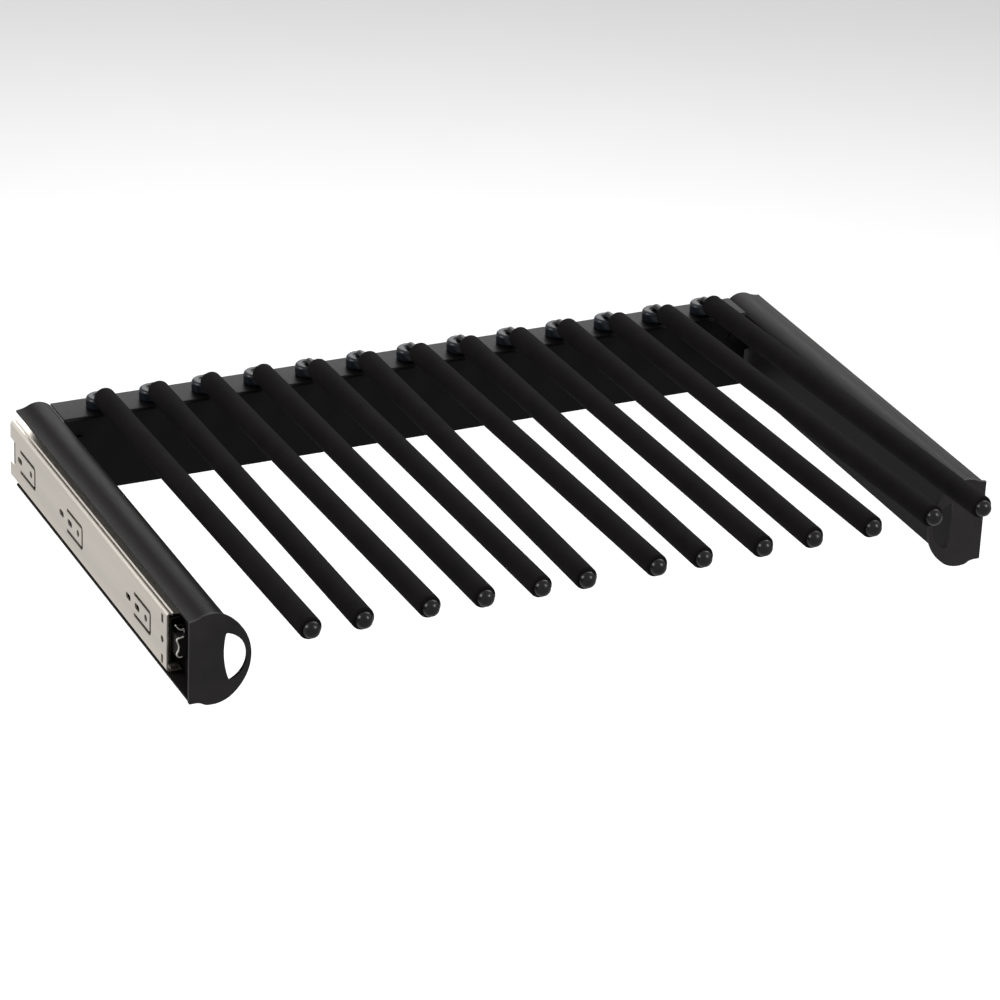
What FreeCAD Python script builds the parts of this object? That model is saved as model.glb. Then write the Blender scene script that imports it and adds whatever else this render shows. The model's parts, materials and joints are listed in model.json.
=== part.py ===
import FreeCAD, Part
import math
import os
import Sketcher

# Pull-out trouser rack for a wardrobe: two extruded side rails on ball-bearing
# slides, a folded back plate between them, and a row of thirteen bent-wire arms
# in rubber sleeves. Each arm stands in a bush on the plate's flange and swivels.
# Millimetres. X runs to the right, Y to the back and Z up. The origin is mid-width,
# at the front ends of the slides and at the slides' middle height.

document = FreeCAD.newDocument("trouser_rack")
sheet = document.addObject("Spreadsheet::Sheet", "Dims")

DIMENSIONS = {
    # opening and slide
    "clear_width": 614.0,
    "slide_height": 45.0,
    "slide_length": 320.0,
    "slide_depth": 12.7,
    "slide_wall": 1.2,
    "slide_bend": 2.6,
    "slide_end_gap": 2.0,
    "inner_front_reach": 1.0,
    "outer_flange": 11.0,
    "bead_inset": 3.7,
    "bead_half": 1.0,
    "bead_depth": 0.7,
    "bearing_ball": 3.2,
    "ball_clearance": 0.1,
    "running_gap": 0.5,
    "cage_wall": 0.6,
    "cage_length": 110.0,
    "cage_start": 105.0,
    "cage_hole_play": 0.15,
    "ball_pitch": 14.0,
    "tip_gap": 0.8,
    "outer_cage_tip": 9.0,
    "outer_ball_inset": 6.5,
    "inner_ball_inset": 8.5,
    # fixing pattern pressed into each cabinet member
    "tab_first": 46.4,
    "tab_second": 182.0,
    "tab_third": 281.8,
    "tab_length": 33.0,
    "tab_height": 19.2,
    "tab_round": 3.4,
    "slit_width": 2.8,
    "fixing_drop": 1.0,
    "screw_hole": 5.2,
    "screw_hole_ahead": 6.4,
    "slot_length": 9.2,
    "slot_height": 4.6,
    "slot_behind": 10.4,
    "rear_slot_behind": 17.4,
    "outer_slot_behind": 27.6,
    "end_slot_inset": 8.4,
    "end_slot_pitch": 15.5,
    "end_slot_width": 3.8,
    "end_slot_height": 6.6,
    "notch_depth": 10.5,
    "notch_height": 19.0,
    "notch_drop": 0.3,
    # side rail extrusion and cap
    "front_overhang": 42.2,
    "rack_depth": 352.0,
    "rail_drop": 25.8,
    "rail_height": 61.3,
    "rail_inset": 1.0,
    "rail_width": 27.5,
    "rail_waist": 25.0,
    "crown_lip": 1.8,
    "rail_wall": 1.5,
    "rail_corner": 2.5,
    "hump_inset": 10.0,
    "hump_rise": 2.3,
    "hump_radius": 14.5,
    "hollow_radius": 22.0,
    "shoulder_drop": 0.6,
    "cap_thickness": 2.5,
    "cap_proud": 1.0,
    "foot_flat": 5.0,
    "foot_bend": 9.1,
    "lobe_drop": 3.0,
    "lobe_inset": 15.0,
    "lobe_under_radius": 22.7,
    "lobe_side_inset": 30.0,
    "lobe_side_rise": 0.9,
    "lobe_radius": 37.4,
    "cap_shoulder_inset": 25.3,
    "cap_hump_inset": 9.0,
    "cap_hump_rise": 2.6,
    "cap_hump_radius": 17.0,
    "cap_shoulder_rise": 1.4,
    "finger_low_inset": 29.2,
    "finger_low": 12.7,
    "finger_high_inset": 26.6,
    "finger_high": 49.8,
    "finger_back": 64.3,
    "finger_front": 19.43,
    "plug_length": 12.0,
    "plug_play": 0.2,
    "buffer_inset": 4.6,
    "buffer_height": 16.0,
    "buffer_reach": 8.0,
    "buffer_grip": 12.0,
    "buffer_nose": 1.2,
    # back plate and its brackets
    "sheet_wall": 1.5,
    "sheet_bend": 2.5,
    "flange_level": 36.5,
    "flange_depth": 31.0,
    "plate_drop": 23.5,
    "bracket_wall": 2.0,
    "bracket_arm": 21.0,
    "bracket_height": 28.0,
    "bracket_level": 18.9,
    "bracket_screw_reach": 11.5,
    # screws
    "plate_screw": 3.9,
    "plate_screw_head": 7.4,
    "plate_screw_head_rise": 2.2,
    "screw_point": 3.0,
    "hole_play": 0.1,
    "slide_screw": 3.5,
    "slide_screw_head": 7.0,
    "slide_screw_head_rise": 1.6,
    "slide_screw_first": 45.0,
    "slide_screw_pitch": 115.0,
    # arms
    "row_end_gap": 31.8,
    "swivel_inset": 14.5,
    "wire": 5.0,
    "wire_bend": 4.0,
    "arm_rise": 11.5,
    "arm_tilt": 1.674,
    "arm_length": 412.3,
    "sleeve": 16.4,
    "sleeve_round": 2.0,
    "sleeve_rear_gap": 17.5,
    "sleeve_play": 0.05,
    "tip_ball": 12.0,
    "ball_seat": 0.8,
    "ball_grip": 2.5,
    "swivel_play": 0.05,
    "seat_gap": 0.25,
    # bush and washer
    "bush_foot": 16.0,
    "bush_foot_height": 1.0,
    "bush_head": 19.4,
    "bush_head_top": 8.75,
    "bush_round": 2.75,
    "bush_sink": 3.5,
    "spigot": 8.0,
    "washer": 12.0,
    "washer_height": 1.0,
    "rivet": 7.0,
    "rivet_height": 1.4,
}

ARM_COUNT = 13
# angle of each arm as it stands in the photograph, in degrees, from left to right
ARM_ANGLES = (-0.51, -1.03, -0.08, -0.26, -0.2, -1.27, 0.38, -0.51, 0.21, -0.12, 0.59, 1.54, 1.29)
# how far each sleeve has slid back along its wire towards the bush
SLEEVE_SLIPS = (7.2, 5.0, 6.5, 6.5, 0.5, 0.0, 0.5, 0.0, 1.0, 3.0, 0.0, 0.5, 3.5)
SIDES = {"left": -1, "right": 1}
BALLS_PER_ROW = 8
SLIDE_SCREWS = 3

for row, (alias, size) in enumerate(DIMENSIONS.items(), start=1):
    sheet.set(f"A{row}", alias)
    sheet.set(f"B{row}", f"{size:g}")
    sheet.setAlias(f"B{row}", alias)
document.recompute()


def named(expression):
    """Write the sheet's name before each of its aliases in an expression."""
    words = []
    word = ""
    for letter in expression + " ":
        if letter.isalnum() or letter == "_":
            word += letter
            continue
        words.append("Dims." + word if word in DIMENSIONS else word)
        words.append(letter)
        word = ""
    return "".join(words).strip()


def value(expression):
    """Work out an expression on the sheet as a plain number."""
    return float(sheet.evalExpression(named(expression)))


def bind(item, target, expression):
    """Bind one property of an object to the sheet."""
    item.setExpression(target, named(expression))


def across(side, inward):
    """Give the X of a point that lies so far inward from one side of the opening."""
    return f"{SIDES[side]} * (clear_width / 2 - ({inward}))"


# places worked out from the driving dimensions
BALL_ROW = "(slide_height / 2 - slide_wall - ball_clearance - bearing_ball / 2)"
MIDDLE_HALF = f"({BALL_ROW} - bearing_ball / 2 - ball_clearance)"
INNER_ROW = f"({MIDDLE_HALF} - slide_wall - ball_clearance - bearing_ball / 2)"
INNER_HALF = f"({INNER_ROW} - bearing_ball / 2 - ball_clearance)"
MIDDLE_WEB = "(slide_wall + running_gap + cage_wall + running_gap)"
INNER_CAGE_WEB = f"({MIDDLE_WEB} + slide_wall + running_gap)"
INNER_TIP = f"({INNER_CAGE_WEB} + cage_wall + tip_gap)"
SEAT_BACK = "(slide_depth + rail_wall)"
RAIL_LIP = "(rail_height - rail_drop)"
CAP_LIP = "(rail_height + cap_proud - rail_drop)"
RACK_REAR = "(rack_depth - front_overhang)"
PLATE_FRONT = f"({RACK_REAR} - flange_depth)"
CROWN_UNDER = f"({RAIL_LIP} - shoulder_drop - crown_lip)"
PLATE_HALF = "(clear_width / 2 - rail_width)"
ARM_PITCH = f"(2 * ({PLATE_HALF} - row_end_gap) / {ARM_COUNT - 1})"
SWIVEL_Y = f"({PLATE_FRONT} + swivel_inset)"
WIRE_BORE = "(wire / 2 + swivel_play)"
WASHER_LOW = "(sheet_wall + washer_height)"
RIVET_TOP = f"({WASHER_LOW} + seat_gap)"
LEG_FOOT = f"(flange_level - {RIVET_TOP} - rivet_height)"
CORNER = f"(flange_level + arm_rise - {LEG_FOOT})"
BEND_LENGTH = "(wire_bend * tan(45 - arm_tilt / 2))"
BUSH_CROWN = f"(arm_rise - {BEND_LENGTH} - seat_gap)"


def add_body(label):
    """Start a body whose name is the piece's name."""
    body = document.addObject("PartDesign::Body", label)
    body.Label = label
    return body


def add_sketch(body, role, name, offset=None):
    """Start a sketch on one of the body's own origin planes, moved along its normal."""
    sketch = body.newObject("Sketcher::SketchObject", name)
    plane = [item for item in body.Origin.OriginFeatures if item.Role == role][0]
    sketch.AttachmentSupport = [(plane, "")]
    sketch.MapMode = "FlatFace"
    if offset is not None:
        bind(sketch, "AttachmentOffset.Base.z", offset)
    return sketch


def place_point(sketch, geometry, position, x, y, name):
    """Tie one point of a sketch to the sheet."""
    for kind, axis, expression in (("DistanceX", "x", x), ("DistanceY", "y", y)):
        index = sketch.addConstraint(Sketcher.Constraint(kind, -1, 1, geometry, position, value(expression)))
        sketch.renameConstraint(index, f"{name}{axis}")
        bind(sketch, f"Constraints.{name}{axis}", expression)


def place_radius(sketch, geometry, radius, name):
    """Tie the radius of a circle or arc to the sheet."""
    index = sketch.addConstraint(Sketcher.Constraint("Radius", geometry, value(radius)))
    sketch.renameConstraint(index, name)
    bind(sketch, f"Constraints.{name}", radius)


def add_arc(sketch, start, finish, radius, turn):
    """Add the smaller arc between two points; turn is 1 for a left bend and -1 for a right one."""
    chord = finish - start
    rise = math.sqrt(max(radius ** 2 - (chord.Length / 2) ** 2, 0))
    normal = FreeCAD.Vector(-chord.y, chord.x, 0).normalize()
    centre = start + chord * 0.5 + normal * (rise * turn)
    first, last = (start, finish) if turn > 0 else (finish, start)
    angles = [math.atan2(point.y - centre.y, point.x - centre.x) for point in (first, last)]
    circle = Part.Circle(centre, FreeCAD.Vector(0, 0, 1), radius)
    return sketch.addGeometry(Part.ArcOfCircle(circle, angles[0], angles[1]), False)


def add_outline(sketch, corners, arcs=None, name="c", closed=True):
    """Draw lines and arcs through corners given as pairs of expressions.

    arcs maps the number of a corner to the radius and turn of the arc that leaves it.
    """
    arcs = arcs or {}
    points = [FreeCAD.Vector(value(x), value(y), 0) for x, y in corners]
    edges = []
    for number in range(len(points) if closed else len(points) - 1):
        start = points[number]
        finish = points[(number + 1) % len(points)]
        if number in arcs:
            radius, turn = arcs[number]
            geometry = add_arc(sketch, start, finish, value(radius), turn)
            place_radius(sketch, geometry, radius, f"{name}{number}r")
            edges.append((geometry, 1, 2) if turn > 0 else (geometry, 2, 1))
        else:
            edges.append((sketch.addGeometry(Part.LineSegment(start, finish), False), 1, 2))
    for number, edge in enumerate(edges):
        place_point(sketch, edge[0], edge[1], *corners[number], f"{name}{number}")
        following = edges[(number + 1) % len(edges)]
        if closed or number + 1 < len(edges):
            joint = Sketcher.Constraint("Coincident", edge[0], edge[2], following[0], following[1])
            sketch.addConstraint(joint)
    if not closed:
        place_point(sketch, edges[-1][0], edges[-1][2], *corners[-1], f"{name}{len(edges)}")


def add_circle(sketch, x, y, radius, name):
    """Draw a circle whose centre and radius are tied to the sheet."""
    centre = FreeCAD.Vector(value(x), value(y), 0)
    circle = Part.Circle(centre, FreeCAD.Vector(0, 0, 1), value(radius))
    geometry = sketch.addGeometry(circle, False)
    place_point(sketch, geometry, 3, x, y, name)
    place_radius(sketch, geometry, radius, f"{name}r")


def add_pad(body, sketch, length, name, reverse=False):
    """Push a sketch out by a length."""
    pad = body.newObject("PartDesign::Pad", name)
    pad.Profile = sketch
    bind(pad, "Length", length)
    pad.Reversed = reverse
    return pad


def add_pocket(body, sketch, name, depth=None, reverse=False):
    """Cut a sketch into the body, right through or to a depth."""
    pocket = body.newObject("PartDesign::Pocket", name)
    pocket.Profile = sketch
    pocket.Reversed = reverse
    if depth is None:
        pocket.Type = "ThroughAll"
    else:
        bind(pocket, "Length", depth)
    return pocket


def add_turning(body, sketch, axis, name):
    """Turn a sketch through a full circle about one of its own axes."""
    turning = body.newObject("PartDesign::Revolution", name)
    turning.Profile = sketch
    turning.ReferenceAxis = (sketch, [axis])
    turning.Angle = 360
    return turning


def add_placement(item, x="0", y="0", z="0", turn="0", lean="0"):
    """Place a piece: lean about X first, then turn about Z, then shift."""
    base = f"create(<<vector>>; {x}; {y}; {z})"
    upright = f"create(<<rotation>>; create(<<vector>>; 0; 0; 1); {turn})"
    tipped = f"create(<<rotation>>; create(<<vector>>; 1; 0; 0); {lean})"
    first = f"create(<<placement>>; {base}; {upright})"
    second = f"create(<<placement>>; create(<<vector>>; 0; 0; 0); {tipped})"
    bind(item, "Placement", f"{first} * {second}")


def add_group(label, members):
    """Gather separate solids of one kind under one name."""
    group = document.addObject("Part::Compound", label)
    group.Label = label
    group.Links = members
    return group


def add_channel(body, side, web, tip, half, wall, bend, bead=False):
    """Draw a C-shaped section; web is the back of its web and tip the edge of its flanges."""
    opening = 1 if value(tip) > value(web) else -1
    outer = f"{web} + {opening} * {bend}"
    inner = f"{web} + {opening} * {wall}"
    face = f"({half} - {wall})"
    groove = [("bead_inset + bead_half", "0"), ("bead_inset", "bead_depth"), ("bead_inset - bead_half", "0")]
    upper = [(u, f"{half} - {dip}") for u, dip in groove] if bead else []
    lower = [(u, f"-{face} + {dip}") for u, dip in groove] if bead else []
    corners = [(tip, half)] + upper
    bends = [len(corners)]
    corners += [(outer, half), (web, f"{half} - {bend}")]
    corners += [(web, f"-({half} - {bend})"), (outer, f"-{half}")]
    bends.append(len(corners) - 2)
    corners += [(u, f"-{half} + {dip}") for u, dip in reversed(groove)] if bead else []
    corners += [(tip, f"-{half}"), (tip, f"-{face}")] + lower
    hollows = [len(corners)]
    corners += [(outer, f"-{face}"), (inner, f"-({half} - {bend})")]
    corners += [(inner, f"{half} - {bend}"), (outer, face)]
    hollows.append(len(corners) - 2)
    corners += [(u, f"{face} - {dip}") for u, dip in reversed(groove)] if bead else []
    corners += [(tip, face)]
    turn = -SIDES[side] * opening
    arcs = {number: (bend, turn) for number in bends}
    arcs.update({number: (f"{bend} - {wall}", -turn) for number in hollows})
    sketch = add_sketch(body, "XZ_Plane", f"{body.Name}_section")
    add_outline(sketch, [(across(side, u), z) for u, z in corners], arcs)
    return sketch


def add_slot(sketch, y, z, width, height, name):
    """Draw a rectangular slot about its middle."""
    corners = [(f"{y} - {width} / 2", f"{z} - {height} / 2"), (f"{y} + {width} / 2", f"{z} - {height} / 2"),
               (f"{y} + {width} / 2", f"{z} + {height} / 2"), (f"{y} - {width} / 2", f"{z} + {height} / 2")]
    add_outline(sketch, corners, name=name)


def add_oblong(sketch, y, z, name):
    """Draw a lying slot with round ends about its middle."""
    half, radius = "(slot_length / 2 - slot_height / 2)", "slot_height / 2"
    middle_left, middle_right = f"{y} - {half}", f"{y} + {half}"
    corners = [(middle_left, f"{z} - {radius}"), (middle_right, f"{z} - {radius}"),
               (f"{middle_right} + {radius}", z), (middle_right, f"{z} + {radius}"),
               (middle_left, f"{z} + {radius}"), (f"{middle_left} - {radius}", z)]
    arcs = {number: (radius, 1) for number in (1, 2, 4, 5)}
    add_outline(sketch, corners, arcs, name=name)


def make_cabinet_member(side):
    """Outer slide member, screwed to the wardrobe's side panel."""
    body = add_body(f"cabinet_member_{side}")
    half = "slide_height / 2"
    section = add_channel(body, side, "0", "outer_flange", half, "slide_wall", "slide_bend", bead=True)
    add_pad(body, section, "slide_length", f"{body.Name}_pad", reverse=True)
    sketch = add_sketch(body, "YZ_Plane", f"{body.Name}_holes")
    level = "-fixing_drop"
    for number, tab in enumerate(("tab_first", "tab_second", "tab_third")):
        back, front = f"{tab} + tab_length / 2", f"{tab} - tab_length / 2"
        low, high = f"{level} - tab_height / 2", f"{level} + tab_height / 2"
        bend, under, over = f"{front} + tab_round", f"{low} + tab_round", f"{high} - tab_round"
        slit = [(back, high), (bend, high), (front, over), (front, under), (bend, low), (back, low),
                (back, f"{low} + slit_width"), (bend, f"{low} + slit_width"),
                (f"{front} + slit_width", under), (f"{front} + slit_width", over),
                (bend, f"{high} - slit_width"), (back, f"{high} - slit_width")]
        arcs = {1: ("tab_round", 1), 3: ("tab_round", 1)}
        arcs.update({7: ("tab_round - slit_width", -1), 9: ("tab_round - slit_width", -1)})
        add_outline(sketch, slit, arcs, name=f"tab{number}c")
        add_circle(sketch, f"{tab} - screw_hole_ahead", level, "screw_hole / 2", f"screw{number}c")
    for number, tab in enumerate(("tab_first", "tab_second")):
        add_oblong(sketch, f"{tab} + slot_behind", level, f"inner_slot{number}c")
        add_oblong(sketch, f"{tab} + outer_slot_behind", level, f"outer_slot{number}c")
    add_oblong(sketch, "tab_third + rear_slot_behind", level, "rear_slotc")
    add_circle(sketch, "end_slot_inset", level, "screw_hole / 2", "endc")
    for step in (-1, 1):
        middle = f"-fixing_drop / 2 + {step} * end_slot_pitch"
        add_slot(sketch, "end_slot_inset", middle, "end_slot_width", "end_slot_height", f"end{step + 1}c")
    notch = [("slide_length - notch_depth", "-notch_drop - notch_height / 2"),
             ("slide_length + notch_depth", "-notch_drop - notch_height / 2"),
             ("slide_length + notch_depth", "-notch_drop + notch_height / 2"),
             ("slide_length - notch_depth", "-notch_drop + notch_height / 2")]
    add_outline(sketch, notch, name="notchc")
    add_pocket(body, sketch, f"{body.Name}_cut", reverse=SIDES[side] > 0)
    return body


def make_middle_member(side):
    """Middle slide member, which travels half as far as the rack."""
    body = add_body(f"middle_member_{side}")
    section = add_channel(body, side, MIDDLE_WEB, "outer_flange", MIDDLE_HALF, "slide_wall", "slide_bend")
    add_pad(body, section, "slide_length - slide_end_gap", f"{body.Name}_pad", reverse=True)
    add_placement(body, y="slide_end_gap")
    return body


def make_rack_member(side):
    """Inner slide member, screwed to the seat wall of the side rail."""
    body = add_body(f"rack_member_{side}")
    section = add_channel(body, side, "slide_depth", INNER_TIP, INNER_HALF, "slide_wall", "slide_bend")
    add_pad(body, section, "slide_length + inner_front_reach", f"{body.Name}_pad", reverse=True)
    add_placement(body, y="-inner_front_reach")
    sketch = add_sketch(body, "YZ_Plane", f"{body.Name}_holes")
    for number in range(SLIDE_SCREWS):
        along = f"slide_screw_first + {number} * slide_screw_pitch + inner_front_reach"
        add_circle(sketch, along, "0", "slide_screw / 2 + hole_play", f"screw{number}c")
    add_pocket(body, sketch, f"{body.Name}_cut", reverse=SIDES[side] > 0)
    return body


def make_cage(side, label, web, tip, row, ball_inset):
    """Ball cage: a thin channel with a row of balls in each flange."""
    body = add_body(f"{label}_strip_{side}")
    half = f"({row} + cage_wall / 2)"
    section = add_channel(body, side, web, tip, half, "cage_wall", "2 * cage_wall")
    add_pad(body, section, "cage_length", f"{body.Name}_pad", reverse=True)
    add_placement(body, y="cage_start")
    first = f"(cage_length - {BALLS_PER_ROW - 1} * ball_pitch) / 2"
    holes = add_sketch(body, "XY_Plane", f"{body.Name}_holes")
    radius = "bearing_ball / 2 + cage_hole_play"
    for number in range(BALLS_PER_ROW):
        along = f"{first} + {number} * ball_pitch"
        add_circle(holes, across(side, ball_inset), along, radius, f"ball{number}c")
    add_pocket(body, holes, f"{body.Name}_lower")
    add_pocket(body, holes, f"{body.Name}_upper", reverse=True)
    members = [body]
    for number in range(BALLS_PER_ROW):
        for level in (-1, 1):
            ball = document.addObject("Part::Sphere", f"{label}_ball_{side}")
            bind(ball, "Radius", "bearing_ball / 2")
            add_placement(ball, across(side, ball_inset), f"cage_start + {first} + {number} * ball_pitch",
                          f"{level} * {row}")
            members.append(ball)
    return add_group(f"{label}_{side}", members)


def make_rail(side):
    """Extruded side rail: an open channel for the slide outside, a closed chamber inside."""
    body = add_body(f"side_rail_{side}")
    bottom = "-rail_drop"
    top = [("rail_inset", RAIL_LIP), ("hump_inset", f"{RAIL_LIP} + hump_rise"),
           ("rail_width", f"{RAIL_LIP} - shoulder_drop")]
    outline = [("rail_inset", bottom), ("rail_waist - rail_corner", bottom),
               ("rail_waist", f"{bottom} + rail_corner"), ("rail_waist", CROWN_UNDER),
               ("rail_width", CROWN_UNDER), top[2], top[1], top[0],
               ("rail_inset", f"{RAIL_LIP} - rail_wall"), ("slide_depth", f"{RAIL_LIP} - rail_wall"),
               ("slide_depth", f"{bottom} + rail_wall"), ("rail_inset", f"{bottom} + rail_wall")]
    turn = -SIDES[side]
    arcs = {1: ("rail_corner", turn), 5: ("hump_radius", turn), 6: ("hollow_radius", -turn)}
    sketch = add_sketch(body, "XZ_Plane", f"{body.Name}_section")
    add_outline(sketch, [(across(side, u), z) for u, z in outline], arcs, name="shellc")
    chamber = [(SEAT_BACK, f"{bottom} + rail_wall"), ("rail_waist - rail_wall", f"{bottom} + rail_wall"),
               ("rail_waist - rail_wall", f"{RAIL_LIP} - rail_wall"), (SEAT_BACK, f"{RAIL_LIP} - rail_wall")]
    add_outline(sketch, [(across(side, u), z) for u, z in chamber], name="chamberc")
    add_pad(body, sketch, "rack_depth - cap_thickness", f"{body.Name}_pad", reverse=True)
    add_placement(body, y="cap_thickness - front_overhang")
    shift = "(front_overhang - cap_thickness)"
    seat = add_sketch(body, "YZ_Plane", f"{body.Name}_seat_holes", across(side, f"{SEAT_BACK} + rail_wall"))
    for number in range(SLIDE_SCREWS):
        along = f"slide_screw_first + {number} * slide_screw_pitch + {shift}"
        add_circle(seat, along, "0", "slide_screw / 2 + hole_play", f"screw{number}c")
    add_pocket(body, seat, f"{body.Name}_seat_cut", "3 * rail_wall", reverse=SIDES[side] > 0)
    wall = add_sketch(body, "YZ_Plane", f"{body.Name}_wall_hole", across(side, "rail_waist + rail_wall"))
    along = f"{PLATE_FRONT} + sheet_wall + bracket_screw_reach + {shift}"
    add_circle(wall, along, "bracket_level", "plate_screw / 2 + hole_play", "bracketc")
    add_pocket(body, wall, f"{body.Name}_wall_cut", "3 * rail_wall", reverse=SIDES[side] > 0)
    return body


def make_cap(side):
    """End cap of the side rail, with a lobe that reaches inward and a finger hole to pull."""
    body = add_body(f"end_cap_{side}")
    lift = "-rail_drop"
    outline = [("0", lift), ("foot_flat", lift),
               ("(foot_flat + lobe_inset) / 2", f"{lift} - lobe_drop / 2"),
               ("lobe_inset", f"{lift} - lobe_drop"), ("lobe_side_inset", f"{lift} + lobe_side_rise"),
               ("cap_shoulder_inset", f"{CAP_LIP} + cap_shoulder_rise"),
               ("cap_hump_inset", f"{CAP_LIP} + cap_hump_rise"), ("0", CAP_LIP)]
    turn = -SIDES[side]
    arcs = {1: ("foot_bend", -turn), 2: ("foot_bend", turn), 3: ("lobe_under_radius", turn),
            4: ("lobe_radius", turn), 5: ("cap_hump_radius", turn), 6: ("hollow_radius", -turn)}
    sketch = add_sketch(body, "XZ_Plane", f"{body.Name}_face")
    add_outline(sketch, [(across(side, u), z) for u, z in outline], arcs, name="rimc")
    finger = [("finger_low_inset", f"{lift} + finger_low"), ("finger_high_inset", f"{lift} + finger_high")]
    finger_arcs = {0: ("finger_front", turn), 1: ("finger_back", turn)}
    add_outline(sketch, [(across(side, u), z) for u, z in finger], finger_arcs, name="fingerc")
    add_pad(body, sketch, "cap_thickness", f"{body.Name}_pad", reverse=True)
    add_placement(body, y="-front_overhang")
    plug = add_sketch(body, "XZ_Plane", f"{body.Name}_plug_section", "-cap_thickness")
    low, high = f"{lift} + rail_wall + plug_play", f"{RAIL_LIP} - rail_wall - plug_play"
    near, far = f"{SEAT_BACK} + plug_play", "rail_waist - rail_wall - plug_play"
    box = [(near, low), (far, low), (far, high), (near, high)]
    add_outline(plug, [(across(side, u), z) for u, z in box], name="plugc")
    add_pad(body, plug, "plug_length", f"{body.Name}_plug", reverse=True)
    return body


def make_back_plate():
    """Folded sheet between the rails; its flange carries the row of arms."""
    body = add_body("back_plate")
    outline = [(PLATE_FRONT, "-plate_drop"), (PLATE_FRONT, "flange_level - sheet_bend"),
               (f"{PLATE_FRONT} + sheet_bend", "flange_level"), (RACK_REAR, "flange_level"),
               (RACK_REAR, "flange_level - sheet_wall"),
               (f"{PLATE_FRONT} + sheet_bend", "flange_level - sheet_wall"),
               (f"{PLATE_FRONT} + sheet_wall", "flange_level - sheet_bend"),
               (f"{PLATE_FRONT} + sheet_wall", "-plate_drop")]
    arcs = {1: ("sheet_bend", -1), 5: ("sheet_bend - sheet_wall", 1)}
    sketch = add_sketch(body, "YZ_Plane", "back_plate_section", f"-{PLATE_HALF}")
    add_outline(sketch, outline, arcs)
    add_pad(body, sketch, f"2 * {PLATE_HALF}", "back_plate_pad")
    row_holes = add_sketch(body, "XY_Plane", "back_plate_row_holes")
    for number in range(ARM_COUNT):
        add_circle(row_holes, arm_x(number), SWIVEL_Y, "spigot / 2 + swivel_play", f"arm{number}c")
    add_pocket(body, row_holes, "back_plate_row_cut", reverse=True)
    end_holes = add_sketch(body, "XZ_Plane", "back_plate_end_holes")
    for side in SIDES:
        inset = "rail_width + bracket_screw_reach"
        add_circle(end_holes, across(side, inset), "bracket_level", "plate_screw / 2 + hole_play", f"{side}c")
    add_pocket(body, end_holes, "back_plate_end_cut")
    return body


def arm_x(number):
    """Give the X of an arm's swivel axis."""
    return f"{number - (ARM_COUNT - 1) / 2:g} * {ARM_PITCH}"


def make_brackets():
    """Angle brackets behind the plate, one against each rail."""
    brackets = []
    for side in SIDES:
        body = add_body(f"bracket_{side}")
        start = f"({PLATE_FRONT} + sheet_wall)"
        end = f"{start} + bracket_arm"
        corners = [("rail_waist", start), ("rail_waist + bracket_arm", start),
                   ("rail_waist + bracket_arm", f"{start} + bracket_wall"),
                   ("rail_waist + bracket_wall", f"{start} + bracket_wall"),
                   ("rail_waist + bracket_wall", end), ("rail_waist", end)]
        sketch = add_sketch(body, "XY_Plane", f"{body.Name}_section")
        add_outline(sketch, [(across(side, u), y) for u, y in corners])
        add_pad(body, sketch, "bracket_height", f"{body.Name}_pad")
        add_placement(body, z="bracket_level - bracket_height / 2")
        radius = "plate_screw / 2 + hole_play"
        plate_hole = add_sketch(body, "XZ_Plane", f"{body.Name}_plate_hole")
        hole_x = across(side, "rail_width + bracket_screw_reach")
        add_circle(plate_hole, hole_x, "bracket_height / 2", radius, "platec")
        add_pocket(body, plate_hole, f"{body.Name}_plate_cut")
        rail_hole = add_sketch(body, "YZ_Plane", f"{body.Name}_rail_hole",
                               across(side, "rail_waist + 2 * bracket_wall"))
        add_circle(rail_hole, f"{start} + bracket_screw_reach", "bracket_height / 2", radius, "railc")
        add_pocket(body, rail_hole, f"{body.Name}_rail_cut", "3 * bracket_wall", reverse=SIDES[side] > 0)
        brackets.append(body)
    return add_group("corner_brackets", brackets)


def make_screw(name, shank, length, head, rise):
    """Pan-head screw along +Z with its seat at the origin."""
    pin = document.addObject("Part::Cylinder", f"{name}_shank")
    bind(pin, "Radius", f"{shank} / 2")
    bind(pin, "Height", length)
    crown = document.addObject("Part::Cylinder", f"{name}_crown")
    bind(crown, "Radius", f"{head} / 2")
    bind(crown, "Height", rise)
    add_placement(crown, z=f"-({rise})")
    screw = document.addObject("Part::Fuse", name)
    screw.Base = pin
    screw.Tool = crown
    return screw


def aim_screw(screw, x, y, z, axis, angle):
    """Place a screw whose shank leaves its seat along X or Y."""
    spin = f"create(<<rotation>>; create(<<vector>>; {axis}); {angle})"
    bind(screw, "Placement", f"create(<<placement>>; create(<<vector>>; {x}; {y}; {z}); {spin})")


def make_plate_screws():
    """Screws that hold the plate to its brackets and the brackets to the rails."""
    screws = []
    for side, sign in SIDES.items():
        length = "sheet_wall + bracket_wall + screw_point"
        screw = make_screw(f"plate_screw_{side}", "plate_screw", length, "plate_screw_head",
                           "plate_screw_head_rise")
        aim_screw(screw, across(side, "rail_width + bracket_screw_reach"), PLATE_FRONT, "bracket_level",
                  "1; 0; 0", "-90")
        screws.append(screw)
        length = "bracket_wall + rail_wall + screw_point"
        screw = make_screw(f"bracket_screw_{side}", "plate_screw", length, "plate_screw_head",
                           "plate_screw_head_rise")
        along = f"{PLATE_FRONT} + sheet_wall + bracket_screw_reach"
        aim_screw(screw, across(side, "rail_waist + bracket_wall"), along, "bracket_level",
                  "0; 1; 0", f"{90 * sign}")
        screws.append(screw)
    return add_group("plate_screws", screws)


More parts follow.
